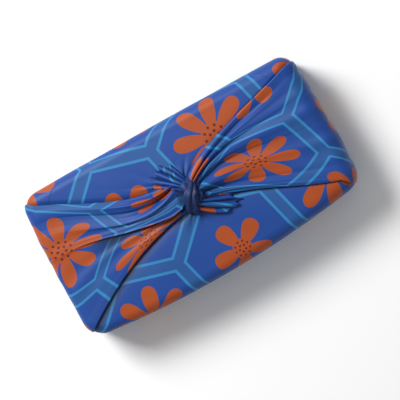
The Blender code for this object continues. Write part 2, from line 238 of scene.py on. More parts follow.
def ripple(x, y, seed, longest, shortest, waves=5):
    """Soft uneven swells between -1 and 1: sine waves in scattered directions, the shorter ones lower."""
    random = np.random.default_rng(seed)
    total, most = np.zeros(np.broadcast(x, y).shape), 0.0
    for k in range(waves):
        length = longest * (shortest / longest) ** (k / (waves - 1))
        angle, phase = random.uniform(0, 2 * math.pi, 2)
        strength = (length / longest) ** 0.7
        along = (x * math.cos(angle) + y * math.sin(angle)) * 2 * math.pi / length
        total = total + strength * np.sin(along + phase)
        most += strength
    return total / most


# The layers that lie flat
#
# The base, the sides and the first long flap lie close round the box. The second long flap is drawn up
# the front, over the top and just past the back edge, where it is folded under. Both are ironed flat, so
# they show the print plainly, and only swell a little beside the flaps that are pulled across them.
cloth_layers = []  # each layer of the one cloth: points, places on the open cloth, shade, runs all round


def add_layer(points, cloth_xy, shade, all_round, turned_over=False):
    """Keeps one layer as a grid of rows by columns. The shade is a painted shade: 1 deep in a fold, 0 in the
    open and a little below 0 on a ridge, where it is a painted highlight. A layer whose rows run outwards
    from the knot is turned over, so that its faces look outwards."""
    shade = np.broadcast_to(shade, points.shape[:2])
    if turned_over:
        points, cloth_xy, shade = points[::-1], cloth_xy[::-1], shade[::-1]
    cloth_layers.append((points, cloth_xy, shade, all_round))


def unrolled(points, sign):
    """Places on the open cloth, in millimetres from its middle, of points of the flap that comes from the
    side at this sign of y: as far along as on the parcel, and across it the distance up that side, over
    the top and down the other side."""
    x, y = points[..., 0], sign * points[..., 1]
    height = np.clip(points[..., 2], 0, TOP)
    up_and_down = np.where(y > 0, height, 2 * TOP - height)
    return np.stack([x, sign * (2 * HALF_WIDTH + up_and_down - y)], axis=-1)


SKIN_COLUMNS = 240
SLACK = 0.3  # how far the sides swell and sink
SIDE_HEIGHT = 44.0  # millimetres of side that a whole step of the way stands for
UNDER_THE_FLAPS = 0.9  # depth of the skin's top under the flaps


def close_skin():
    """The skin round the box: rings from the middle of the underside, up the sides and over the top. A
    soft ripple swells the sides, most at half their height."""
    place = np.linspace(0, fold_count, SKIN_COLUMNS + 1)[:-1]
    way = np.concatenate([np.linspace(5, 4, 7), np.linspace(4, 3, 6)[1:], np.linspace(3, 2, 10)[1:],
                          np.linspace(2, 1, 6)[1:], np.linspace(1, -1, 6)[1:]])
    place, way = np.meshgrid(place, way)
    slack = SLACK * ripple(run_at(place), way * SIDE_HEIGHT, 11, 70, 20)
    slack = slack * ramp(np.abs(way - 2.6), 0.5, 0)
    points = on_the_form(place, way, slack - UNDER_THE_FLAPS * (way < 1.95))
    points[..., 2] = np.where(way >= 4, 0.0, points[..., 2])
    cloth_xy = np.where((way >= 4)[..., None], points[..., :2], unrolled(points, 1.0))
    add_layer(points, cloth_xy, 0.0, True)


GATHERS = (
    # flap, first fold, last fold, how many, height, reach as a share of the way to the rim
    ("back flap, beside the knot", 25.4, 29.3, 8, 2.4, 0.42),
    ("back flap, drawn further", 26.6, 28.9, 4, 0.9, 0.9),
    ("front flap, beside the knot", 9.8, 14.2, 6, 1.2, 0.34),
)
FRONT_WAY = 3.9  # way at which the second long flap runs in under the parcel, at the front
BACK_EDGE_WAY = 2.3  # way down the back at which it is folded under
UNDER_FLAPS_WAY = 1.6  # way at which it ends, unseen, under the end flaps
FOLDED_EDGE = 1.1  # how far the folded edge stands off the back
FOLD_DROP, FOLD_SINK = 0.014, 0.2  # how far, in way, its roll hangs down, and how deep it ends in the skin
LONG_FLAP_GAP = 0.3  # between the long flap and the form
LONG_FLAP_COLUMNS = (
    # part of the long flap, from place, to place, how many columns
    ("back", 23.6, 30.6, 170),
    ("front", 8.6, 15.5, 170),
    ("under the left flap", 1.7, 8.5, 26),
    ("under the right flap", 15.6, 23.5, 26),
)
DIP = 1.0  # the long flap sinks this far beside an end flap's edge
FLAP_EDGES = (
    # end flap's edge, side on which the long flap shows, width of the dip, painted shadow in it
    (LEFT_FLAP[0], -1, 3.4, 0.35),
    (LEFT_FLAP[1], 1, 6.0, 1.0),
    (RIGHT_FLAP[0], -1, 3.8, 0.9),
    (RIGHT_FLAP[1], 1, 3.4, 0.45),
)


def plain_table():
    """The fold table without the folds of the end flaps, for the cloth that lies under them."""
    end_flap_words = ("left flap,", "right flap,", "bundle,")
    return [(row[0], 1, *row[2:8], 0.9, 0.4, 0.1, 0.0) if any(words in row[0] for words in end_flap_words)
            else row for row in FOLDS]


def long_flap_lift(place, way):
    """Height of the long flap: the fold table's swells on the front and the back, low under the end
    flaps, drawn into gathers beside the knot."""
    lift = fold_height(place, way, plain_table())
    unbroken = np.where(place < 5, place + fold_count, place)
    for _, first, last, count, rise, reach in GATHERS:
        share = ramp(unbroken, first, last)
        fade = ramp(way, reach, 0) ** 1.5
        wander = 0.16 * np.sin(9.0 * share + 6.0 * way) + 0.1 * np.sin(23.0 * share)
        pleat = np.abs(np.sin(math.pi * (count * share + wander)))
        lift = lift + rise * fade * np.sin(math.pi * share) ** 0.7 * (pleat**0.8 - 0.35)
    return lift


def long_flap():
    """The second long flap: rings from the knot out over the top, down the front to the table and just
    over the top's other edges. It sinks beside each end flap's edge by a bell curve of the distance, and
    its back edge rises off the back and is rolled under through half a turn."""
    spans = [np.linspace(*span) for _, *span in LONG_FLAP_COLUMNS]
    place = np.unique(np.concatenate(spans) % fold_count)
    # Front and back are 1 where the flap shows on that side and 0 under the end flaps
    front = ramp(place, 8.4, 8.9) * ramp(place, 15.6, 15.1)
    back = ramp(place, 23.6, 24) + ramp(place, 1.5, 1.1)
    reach = UNDER_FLAPS_WAY + (FRONT_WAY - UNDER_FLAPS_WAY) * front
    reach = reach + (BACK_EDGE_WAY - UNDER_FLAPS_WAY) * back
    inner = np.linspace(-0.9, 1, 58)[:, None] + np.zeros(len(place))
    way = np.concatenate([inner, 1 + (reach - 1) * np.linspace(0, 1, 22)[1:, None]])
    place = np.broadcast_to(place, way.shape)
    lift = long_flap_lift(place, way) + LONG_FLAP_GAP
    shade = np.zeros(way.shape)
    here = on_the_form(place, way, lift)
    for edge, side, width, dark in FLAP_EDGES:
        beside = on_the_form(np.full(way.shape, edge + 0.15 * side), way, lift)
        gap = np.linalg.norm((here - beside)[..., :2], axis=-1) / width
        near_edge = np.exp(-(gap**2)) * ramp(way, 1.9, 1.3)
        lift = lift - DIP * near_edge * ramp(way, 0, 0.1)
        # A painted shadow on the long flap beside each end flap's edge, darkest at the edge.
        shade = np.maximum(shade, dark * near_edge)
    swell = 0.3 * ripple(here[..., 0], here[..., 1], 5, 130, 38)
    lift = lift + swell * ramp(way, 0, 0.3) * ramp(way, 2, 1)
    run = np.clip((way - 1) / np.maximum(np.broadcast_to(reach, way.shape) - 1, 0.01), 0, 1)
    rising = FOLDED_EDGE * back * run**3 * (1 + 0.25 * ripple(here[..., 0], 0 * way, 6, 90, 30))
    points = on_the_form(place, way, lift * (1 - 0.8 * run**12) + rising)
    # Painted shade in the hollows of the gathers beside the knot.
    pleats = lift - (fold_height(place, way, plain_table()) + LONG_FLAP_GAP)
    gathered = ramp(way, 0.22, 0) * ramp(pleats, 1.2, -0.8)
    shade = np.maximum(shade, gathered)
    cloth_xy = unrolled(points, -1.0)
    # Each step of the roll under the folded back edge gets a painted shade, deeper as it turns under.
    for turn in np.radians([60, 110, 150, 180]):
        low = (rising[-1] + FOLD_SINK * back) * (1 + math.cos(turn)) / 2 - FOLD_SINK * back
        rolled = on_the_form(place[-1], way[-1] + FOLD_DROP * back * math.sin(turn), low)
        points = np.concatenate([points, rolled[None]])
        cloth_xy = np.concatenate([cloth_xy, cloth_xy[-1:]])
        shade = np.concatenate([shade, 0.7 * back[None] * turn / math.pi])
    add_layer(points, cloth_xy, shade, True, turned_over=True)


close_skin()
long_flap()


# The end flaps
#
# Each end of the cloth comes up over its end of the box with its two long edges folded under, and narrows
# into deep pleats and a grooved bundle at the knot. The folded edges are rolled, and the lip of the left
# pleat hangs over its mouth.
TUCK, SIDE_TUCK = 8.0, 1.2  # how far a folded edge is turned under, on the top and down the side
STRIP = 127.0  # width of the strip of cloth that shows, edge to edge
LIP_OVERHANG = 3.0
UNDER_EDGE = 0.4  # gap under the folded edges
FINE_FOLDS = 0.8  # height of the drag lines near the knot
LEAST_LIFT = 1.0  # keeps an end flap clear of the layers under it
SMOOTH_MEETING = 0.6  # rounds the line where the folds come down to the least lift
SIDE_SINK = 0.5  # depth in the skin at which an end flap ends, at the table
ROLL_COLUMNS = 8  # over a turned-under edge


def between_crests(place, way):
    """Height of a taut line from crest to crest: the highest fold within a fold and a half to each side."""
    return np.max([fold_height(place + off, way) for off in np.arange(-1.5, 2.0, 0.5)], axis=0)


def end_flap_lift(place, way, seed, broad_height):
    """Height of an end flap over the form: the fold table's, with broad soft swells that grow outwards and
    fade down the side, and fine drag lines that follow the folds near the knot. A smooth maximum keeps it
    above the least lift, and where it meets the table it sinks into the skin."""
    out = np.clip(way, 0, 1)
    down = np.clip(way - 1, 0, 3)
    broad = ripple(run_at(place), 10 * way, seed, 46, 12, 6)
    drag = ripple(place * 10, 2.0 * way, seed + 1, 14, 3.4, 5)
    lift = fold_height(place, way)
    lift = lift + broad_height * broad * out**0.6 * np.exp(-0.45 * down)
    lift = lift + FINE_FOLDS * drag * ramp(way, -0.2, 0.1) * ramp(out, 1.1, 0.1)
    lift = (lift + LEAST_LIFT + np.sqrt((lift - LEAST_LIFT) ** 2 + SMOOTH_MEETING**2)) / 2
    low_end = ramp(way, 3, 3.8)
    return lift * (1 - low_end) - SIDE_SINK * low_end


def with_lip(points, shade, place, way, lift, lip):
    """The points and the painted shade with this fold pushed aside as a lip: by a squared sine across it, at
    most as far as its mouth is wide, fading towards the knot and the rim. The mouth, which ends at the next
    fold, gets a painted shadow by a bell curve."""
    from_lip = place - lip
    lip_column, mouth_column = (np.abs(from_lip[0] - ahead).argmin() for ahead in (0, 1))
    mouth = points[:, mouth_column] - points[:, lip_column]
    overhang = np.minimum(np.linalg.norm(mouth, axis=1), LIP_OVERHANG)[:, None]
    bump = np.sin(math.pi * ramp(from_lip, -1, 0.9)) ** 2
    from_knot = ramp(way, -0.05, 0.1)
    stay = from_knot * ramp(way, 0.82, 0.47)
    aside = on_the_form(place + 0.05, way, lift) - on_the_form(place - 0.05, way, lift)
    aside[..., 2] = 0
    # Painted shadow in the mouth of the pleat, under the lip.
    in_mouth = np.exp(-(((from_lip - 1.1) / 0.5) ** 2)) * from_knot
    shade = np.maximum(shade, in_mouth * ramp(way, 0.8, 0.6))
    return points + unit(aside) * (overhang * bump * stay)[..., None], shade


def turned_under(lift, lateral, place, way, sign):
    """A long edge of an end flap turned under: half a circle down from the edge to just over the long flap,
    then straight back by the tuck, which is short near the knot and down the side. Gives the points, a
    column for each step of the turn, and their painted shade, which darkens the underside of the roll."""
    low = np.where(way < 1.6, long_flap_lift(place, way) - DIP + UNDER_EDGE, -0.3)
    radius = np.maximum((lift - low) / 2, 0.12)
    base = on_the_form(place, way, lift)
    normal = base - on_the_form(place, way, lift - 1)
    outward = sign * lateral
    outward = unit(outward - normal * (outward * normal).sum(axis=1)[:, None])
    turn = np.linspace(0, math.pi, ROLL_COLUMNS)[1:]
    aside = outward[:, None] * np.sin(turn)[:, None] - normal[:, None] * (1 - np.cos(turn))[:, None]
    roll = base[:, None] + aside * radius[:, None, None]
    tuck = np.minimum(TUCK, 12 * np.maximum(way, 0) + 0.5)
    tuck = (tuck + (SIDE_TUCK - tuck) * ramp(way, 0.9, 1.4))[:, None]
    roll = np.concatenate([roll, (roll[:, -1] - outward * tuck)[:, None]], axis=1)
    # Painted shade on the underside of the roll, darkest where it turns back under.
    shade = ramp(np.append(turn, math.pi), 1.2, 2.4)
    return roll, np.broadcast_to(shade, roll.shape[:2])


def end_flap(folds, end, seed, columns_each, broad_height, lip=None):
    """A flap as a grid. Across it the columns run from under one folded edge, round its roll, over the
    folds and round the other roll; along it the rows run from inside the knot down to the table. The painted
    shade is the depth below the crests, with a slight painted highlight on them. On the open cloth each row
    is stretched to the strip's whole width."""
    first, last = folds
    place_row = np.linspace(first, last, (last - first) * columns_each + 1)
    way_column = np.concatenate([np.linspace(-0.75, 0, 6)[:-1], np.linspace(0, 1, 62) ** 1.1,
                                 np.linspace(1, 2, 10)[1:], np.linspace(2, 3, 13)[1:],
                                 np.linspace(3, 3.8, 6)[1:]])
    place, way = np.meshgrid(place_row, way_column)
    lift = end_flap_lift(place, way, seed, broad_height)
    points = on_the_form(place, way, lift)
    # Painted shade in the hollows between the crests and a slight painted highlight on the crests, both
    # fading away from the knot.
    ridge_to_ridge = np.maximum(between_crests(place, way), 1.0)
    depth = 1.15 * (ridge_to_ridge - lift) / ridge_to_ridge - 0.22
    shade = np.clip(depth, -0.22, 1) * np.exp(-2.3 * np.clip(way, 0, 1))
    if lip is not None:
        points, shade = with_lip(points, shade, place, way, lift, lip)
    lateral = unit(np.gradient(points, axis=1))
    rolls = [turned_under(lift[:, edge], lateral[:, edge], place[:, edge], way_column, sign)
             for edge, sign in ((0, -1.0), (-1, 1.0))]
    (near_roll, near_shade), (far_roll, far_shade) = rolls
    points = np.concatenate([near_roll[:, ::-1], points, far_roll], axis=1)
    shade = np.concatenate([near_shade[:, ::-1], shade, far_shade], axis=1)
    step = np.linalg.norm(np.diff(points, axis=1), axis=2)
    across = np.concatenate([np.zeros((len(points), 1)), np.cumsum(step, axis=1)], axis=1)
    start, stop = across[:, [ROLL_COLUMNS]], across[:, [-ROLL_COLUMNS - 1]]
    v = end * ((across - start) / (stop - start) - 0.5) * STRIP
    u = end * (2 * HALF_LENGTH + np.clip(points[..., 2], 0, TOP)) - points[..., 0]
    # Painted shade where the flap runs into the knot.
    pinched = ramp(way_column, 0.02, -0.1)[:, None]
    add_layer(points, np.stack([u, v], axis=-1), np.maximum(shade, 0.7 * pinched), False, turned_over=True)


end_flap(LEFT_FLAP, -1, 21, 20, 1.3, lip=6)
end_flap(RIGHT_FLAP, 1, 31, 19, 1.9)


# The knot
#
# The gathered ends cross and are tied once more into a compact square knot. A folded band goes over the
# crossing, the crumpled heart fills it, and two short free ends spread out on the flaps, pleated by the
# pull, each with the corner of the cloth at its tip.
STRANDS = (
    # strand and its count of lengthwise folds, then stations: x, y, height above the top, width,
    # thickness, depth of the folds, roll in degrees
    (
        "heart of the knot", 7,
        (6.2, 16.5, 0.5, 10.0, 6.0, 0.10, 0.0),
        (4.9, 11.5, 5.5, 17.0, 13.0, 0.16, 10.0),
        (3.0, 4.8, 7.0, 20.0, 15.0, 0.20, 25.0),
        (1.0, -1.5, 7.0, 19.5, 15.0, 0.20, 45.0),
        (-0.6, -7.0, 4.5, 14.0, 11.0, 0.16, 60.0),
        (-1.6, -11.0, 0.0, 8.0, 4.0, 0.10, 70.0),
    ),
    (
        "band over the knot", 4,
        (7.2, 17.5, 0.5, 7.0, 5.0, 0.16, 0.0),
        (6.5, 13.5, 8.0, 8.0, 6.0, 0.24, 15.0),
        (4.6, 7.5, 14.2, 10.5, 6.8, 0.30, 40.0),
        (1.4, 0.5, 15.2, 12.0, 6.8, 0.26, 75.0),
        (-1.1, -7.5, 9.8, 11.5, 6.0, 0.24, 105.0),
        (-2.2, -12.5, 0.5, 9.0, 5.0, 0.18, 120.0),
    ),
)
TAILS = (
    # free end, count of pleats, how far its left and right rims are drawn back, then stations: x, y,
    # height above the top, width, pleat depth
    (
        "back tail", 4.6, (0.12, 0.34),
        (3.5, 9.0, 9.0, 8.0, 3.6),
        (-2.2, 16.5, 9.4, 14.0, 4.6),
        (-7.6, 23.0, 7.0, 20.0, 4.4),
        (-13.0, 29.0, 5.0, 25.0, 3.8),
        (-18.5, 34.5, 3.6, 27.0, 3.0),
    ),
    (
        "front tail", 3.4, (0.08, 0.5),
        (1.0, -3.0, 9.0, 8.0, 3.6),
        (8.5, -8.5, 9.0, 13.0, 4.4),
        (17.5, -14.0, 6.8, 17.0, 4.0),
        (27.0, -19.0, 4.8, 18.5, 3.2),
        (37.0, -23.0, 3.2, 17.0, 2.4),
    ),
)
CRUMPLE = 0.24  # share of a strand's width by which its surface swells and sinks
CRUMPLE_RADIUS = 7.0  # of the round core that the crumple is laid out on
STRAND_CLOTH = 15.0  # half the width of cloth that is wound round a strand
TAIL_THICKNESS = 0.9
# The underside of a free end carries a painted shade of this strength.
BENEATH_SHADE = 0.45  # on the underside of a free end
HALF_DIAGONAL = 353.6  # of the open cloth
TAIL_START = 307.0  # where a free end leaves the knot, from the middle of the open cloth


def smooth_rows(rows, steps):
    """Rows read from the smooth curve through the given rows, by Catmull and Rom's cubic."""
    rows = np.array(rows, float)
    padded = np.vstack([2 * rows[0] - rows[1], rows, 2 * rows[-1] - rows[-2]])
    s = np.linspace(0, len(rows) - 1, steps)
    i = np.minimum(s.astype(int), len(rows) - 2)
    t = (s - i)[:, None]
    a, b, c, d = (padded[i + k] for k in range(4))
    return 0.5 * (2 * b + (c - a) * t + (2 * a - 5 * b + 4 * c - d) * t**2 + (3 * b - a - 3 * c + d) * t**3)


def path_frame(rows):
    """The path of a strand with its sideways and upward directions, and the length run along it."""
    path = rows[:, :3] + [0, 0, TOP]
    along = unit(np.gradient(path, axis=0))
    side = unit(np.cross(along, [0, 0, 1]))
    up = np.cross(side, along)
    length = np.concatenate([[0], np.cumsum(np.linalg.norm(np.diff(path, axis=0), axis=1))])
    return path, side, up, length


def gathered_strand(folds, stations, cloth_start, steps=38, sides=60):
    """A gathered strand: flattened ovals along a smooth path, whose rim is pressed in by lengthwise folds of
    uneven width. The folds drift round and draw together as the strand runs on, as twisted cloth does."""
    rows = smooth_rows(stations, steps)
    path, side, up, length = path_frame(rows)
    turn = np.linspace(0, 2 * math.pi, sides, endpoint=False)
    width, thick, depth, roll = (rows[:, k][:, None] for k in (3, 4, 5, 6))
    roll = np.radians(roll)
    run = length[:, None]
    drift = 0.75 * np.sin(turn + 0.17 * run + 0.6) + 0.4 * np.sin(2 * turn + 0.1 * run)
    lobes = np.abs(np.cos(folds * turn / 2 + roll + drift))
    round_core, along_core = CRUMPLE_RADIUS * np.cos(turn + 0 * run), run + CRUMPLE_RADIUS * np.sin(turn)
    crumple = ripple(round_core, along_core, folds, 16, 5)
    shape = (1 - depth * (1 - lobes) ** 1.3 * 1.7) * (1 + CRUMPLE * crumple)
    across, rise = np.cos(turn) * shape * width / 2, np.sin(turn) * shape * thick / 2
    points = path[:, None] + side[:, None] * across[..., None] + up[:, None] * rise[..., None]
    u = run + np.zeros(sides)
    v = np.broadcast_to((turn / math.pi - 0.5) * STRAND_CLOTH, across.shape)
    # Painted shade over the whole knot, darker in the folds between the lobes and where the crumple sinks.
    shade = 0.7 + 0.3 * (1 - lobes) - 0.3 * crumple
    cloth_xy = np.stack([u + cloth_start[0], v + cloth_start[1]], axis=-1)
    add_layer(points, cloth_xy, shade, True, turned_over=True)


def free_end(pleats, drawn, stations, end, steps=36, sides=60):
    """A free end: a thin double skin that spreads from the knot in zigzag pleats with broad crests and
    narrow hollows. The pleats are rounded triangle waves whose phase drifts along the end. The rim is
    drawn back on both sides of the tip, and in the hollows further than on the crests."""
    rows = smooth_rows(stations, steps)
    path, side, up, length = path_frame(rows)
    share = np.linspace(-1, 1, sides)
    to_tip = np.linspace(0, 1, steps)[:, None]
    drawn_back = 1 - drawn[0] * np.clip(-share, 0, 1) ** 1.4 - drawn[1] * np.clip(share, 0, 1) ** 1.4
    drawn_back = drawn_back - 0.07 * (1 - np.sin(math.pi * pleats * share)) - 0.05 * np.sin(8.3 * share + 1)
    along = to_tip * drawn_back * (steps - 1)
    low = np.minimum(along.astype(int), steps - 2)
    part = (along - low)[..., None]

    def read(values):
        return values[low] * (1 - part) + values[low + 1] * part

    centre, sideways, upward = read(path), read(side), read(up)
    width, depth, run = (read(values[:, None])[..., 0] for values in (rows[:, 3], rows[:, 4], length))
    phase = pleats * share * 0.5 + 0.008 * run + 0.09 * np.sin(5.1 * share + 0.13 * run)
    wave = np.arcsin(0.97 * np.sin(2 * math.pi * phase)) / (math.pi / 2)
    across = width / 2 * (share - 0.6 * np.cos(2 * math.pi * phase) / (math.pi * pleats))
    rise = wave * depth / 2 * (1 + 0.3 * np.sin(7.0 * share + 0.5)) - 0.45 * share**2 * depth
    middle = centre + sideways * across[..., None] + upward * rise[..., None]
    outward = unit(np.cross(np.gradient(middle, axis=1), np.gradient(middle, axis=0)))
    rim = np.sqrt(np.clip(1 - share**8, 0, 1)) * TAIL_THICKNESS / 2
    rim = rim * ramp(to_tip, 1, 0.97) ** 0.5
    over, beneath = middle + outward * rim[..., None], middle - outward * rim[..., None]
    points = np.concatenate([over, beneath[:, ::-1]], axis=1)
    cloth_xy = np.stack([end * (TAIL_START + run), share * (HALF_DIAGONAL - TAIL_START - run)], axis=-1)
    cloth_xy = np.concatenate([cloth_xy, cloth_xy[:, ::-1]], axis=1)
    # Painted shade in the pleats' hollows, strongest near the knot, with a slight painted highlight on the
    # crests.
    hollow = np.clip(0.62 - 0.8 * wave, -0.2, 1) * np.clip(1.2 - 0.5 * to_tip, 0, 1)
    shade = np.concatenate([hollow, np.full_like(hollow, BENEATH_SHADE)], axis=1)
    add_layer(points, cloth_xy, shade, True)


KNOT_ON_CLOTH = (-52.0, 90.0)  # a plain blue part of the print
for _, folds, *stations in STRANDS:
    gathered_strand(folds, stations, KNOT_ON_CLOTH)
for (_, pleats, drawn, *stations), end in zip(TAILS, (-1, 1)):
    free_end(pleats, drawn, stations, end)


def placed(name, data):
    """A new object in the scene that shows this data."""
    made = bpy.data.objects.new(name, data)
    bpy.context.scene.collection.objects.link(made)
    return made


def joined_cloth(name):
    """One mesh from all the layers: quads join neighbours along and across each grid, and the last column
    to the first where a layer runs all round. Every point keeps its place on the open cloth, in metres,
    and its painted shade. Points that meet at a pole or a rim become one."""
    points, places, shades, faces, base = [], [], [], [], 0
    for grid, cloth_xy, shade, all_round in cloth_layers:
        rows, columns = grid.shape[:2]
        index = base + np.arange(rows * columns).reshape(rows, columns)
        right = np.roll(index, -1, axis=1) if all_round else index[:, 1:]
        left = index if all_round else index[:, :-1]
        faces.append(np.stack([left[:-1], right[:-1], right[1:], left[1:]], axis=-1).reshape(-1, 4))
        points.append(grid.reshape(-1, 3))
        places.append(cloth_xy.reshape(-1, 2))
        shades.append(shade.ravel())
        base += rows * columns
    points, places, shades, faces = (np.concatenate(a) for a in (points, places, shades, faces))
    mesh = bpy.data.meshes.new(name)
    mesh.from_pydata((points * MM).tolist(), [], faces.tolist())
    corner = np.empty(len(mesh.loops), dtype=np.int32)
    mesh.loops.foreach_get("vertex_index", corner)
    mesh.uv_layers.new(name="open_cloth").data.foreach_set("uv", (places[corner] * MM).ravel())
    mesh.attributes.new("fold_shade", "FLOAT", "POINT").data.foreach_set("value", shades)
    work = bmesh.new()
    work.from_mesh(mesh)
    bmesh.ops.remove_doubles(work, verts=work.verts, dist=0.001 * MM)
    work.to_mesh(mesh)
    work.free()
    mesh.shade_smooth()
    mesh.update()
    return placed(name, mesh)


cloth = joined_cloth("wrapped_cloth")


# The print
#
# Traditional tortoise-shell hexagons in teal double lines on a blue ground, with a blossom in each: rows
# of large eight-petalled ones and of smaller five-petalled ones in burnt orange, stippled dark red. The
# cloth is fine plain-woven cotton with a satin bloom, hemmed all round.
DIAGONAL = math.sqrt(0.5)  # side of a square whose diagonal is 1
PITCH = 96.0  # distance between two hexagons of a row
PRINT_SHIFT = (30.0, 20.0)  # of the whole print along two edges of the cloth
LINE_INSET, LINE_WIDTH = 5.4, 2.3  # the inset runs from a hexagon's edge to the middle of its line
INSIDE_BLUE = (0.0065, 0.049, 0.245)
BETWEEN_BLUE = (0.012, 0.072, 0.245)
LINE_TEAL = (0.02, 0.18, 0.40)
PETAL_ORANGE = (0.33, 0.055, 0.007)
STIPPLE_RED = (0.10, 0.007, 0.008)
BLOSSOMS = (
    # petals, reach, half a petal's width, turn
    (8, 36.0, 6.3, 0.2),
    (5, 26.0, 6.6, 0.9),
)
PETAL_MIDDLE, PETAL_HALF = 0.6, 0.4  # of a petal's length, as shares of the reach
PETAL_SWELL = 0.28  # how much wider than its middle a petal is at its tip
PETAL_SQUARENESS = 2.6  # 2 makes a petal an ellipse, and more makes its ends blunter
PETAL_EDGE = (1.08, 0.92)  # where a petal has ended and where it is full, 1 being its outline
DISC_EDGE = (0.34, 0.31)  # the same for the disc under the dots, as shares of the reach
STIPPLE_RINGS = (
    # dots, radius of the ring and of a dot as shares of the reach
    (5.0, 0.11, 0.038),
    (9.0, 0.24, 0.036),
)
INK_UNEVENNESS = 0.22  # from the thinnest to the fullest ink
# Painted shade: the fold shade takes away this share of the colour deep in a fold.
FOLD_DARKENING = 0.8  # share of the colour that is lost deep in a fold
THREAD_PITCH = 0.5
HEM = 6.0  # width
WEAVE_HEIGHT, HEM_HEIGHT = 0.012, 0.5  # of the bump, in millimetres


def plug(tree, socket, value):
    """Links a socket into this one, or sets it to a plain value."""
    if isinstance(value, bpy.types.NodeSocket):
        tree.links.new(value, socket)
    else:
        socket.default_value = value


def feed(tree, node, given):
    """Plugs the given sockets and values into the node's inputs of these names."""
    for name, value in given.items():
        plug(tree, node.inputs[name], value)


def calculate(tree, operation, *values):
    """A maths node of this operation on these sockets or numbers; gives its output."""
    node = tree.nodes.new("ShaderNodeMath")
    node.operation = operation
    for socket, value in zip(node.inputs, values):
        plug(tree, socket, value)
    return node.outputs[0]


def squared(tree, x, y):
    """The square of the length whose two parts are x and y."""
    return calculate(tree, "ADD", calculate(tree, "MULTIPLY", x, x), calculate(tree, "MULTIPLY", y, y))


def either(tree, switch, first, second):
    """The first value where the switch is 0 and the second where it is 1."""
    kept = calculate(tree, "MULTIPLY", first, calculate(tree, "SUBTRACT", 1.0, switch))
    return calculate(tree, "ADD", kept, calculate(tree, "MULTIPLY", second, switch))


def soft_step(tree, value, low, high):
    """0 up to the low value and 1 from the high one, or the other way round, with a smooth change."""
    node = tree.nodes.new("ShaderNodeMapRange")
    node.interpolation_type = "SMOOTHSTEP"
    for socket, given in zip(node.inputs[:5], (value, low, high, 0.0, 1.0)):
        plug(tree, socket, given)
    return node.outputs[0]


def painted_over(tree, mask, under, ink):
    """The ink laid over the colour under it where the mask is 1; gives the colour."""
    mix = tree.nodes.new("ShaderNodeMix")
    mix.data_type = "RGBA"
    factor, first, second = (socket for socket in mix.inputs if socket.enabled)
    plug(tree, factor, mask)
    plug(tree, first, under)
    plug(tree, second, (*ink, 1))
    return next(socket for socket in mix.outputs if socket.enabled)


def new_group(name, inputs, outputs):
    """An empty shader node group with a place along and across, these further inputs and these outputs, all
    numbers; gives it with its two ends."""
    group = bpy.data.node_groups.new(name, "ShaderNodeTree")
    for socket, default in (("Along", 0), ("Across", 0), *inputs):
        made = group.interface.new_socket(socket, in_out="INPUT", socket_type="NodeSocketFloat")
        made.default_value = default
    for socket in outputs:
        group.interface.new_socket(socket, in_out="OUTPUT", socket_type="NodeSocketFloat")
    return group, group.nodes.new("NodeGroupInput").outputs, group.nodes.new("NodeGroupOutput").inputs


def grouped(tree, group, given):
    """The outputs of a node that runs the group on the given sockets and values."""
    node = tree.nodes.new("ShaderNodeGroup")
    node.node_tree = group
    feed(tree, node, given)
    return node.outputs


def tortoise_shell_group():
    """Hexagons in staggered rows. Two rectangular lattices hold the middles; the nearer middle is the
    hexagon's own, and half the pitch less the hexagonal distance from it is the distance to the edge."""
    group, given, out = new_group("tortoise shell", [("Pitch", PITCH)],
                                  ["From Edge", "From Middle Along", "From Middle Across", "Second Row"])
    pitch = given["Pitch"]
    tall = calculate(group, "MULTIPLY", pitch, math.sqrt(3))
    half, half_tall = calculate(group, "MULTIPLY", pitch, 0.5), calculate(group, "MULTIPLY", tall, 0.5)

    def nearest(value, cell, half_cell, shifted):
        moved = value if shifted else calculate(group, "ADD", value, half_cell)
        return calculate(group, "SUBTRACT", calculate(group, "FLOORED_MODULO", moved, cell), half_cell)

    pairs = [(nearest(given["Along"], pitch, half, shifted),
              nearest(given["Across"], tall, half_tall, shifted)) for shifted in (False, True)]
    second = calculate(group, "LESS_THAN", squared(group, *pairs[1]), squared(group, *pairs[0]))
    x, y = (either(group, second, *values) for values in zip(*pairs))
    far_x, far_y = calculate(group, "ABSOLUTE", x), calculate(group, "ABSOLUTE", y)
    slanted = calculate(group, "ADD", calculate(group, "MULTIPLY", far_x, 0.5),
                        calculate(group, "MULTIPLY", far_y, math.sqrt(3) / 2))
    from_edge = calculate(group, "SUBTRACT", half, calculate(group, "MAXIMUM", far_x, slanted))
    for socket, value in zip(out, (from_edge, x, y, second)):
        group.links.new(value, socket)
    return group


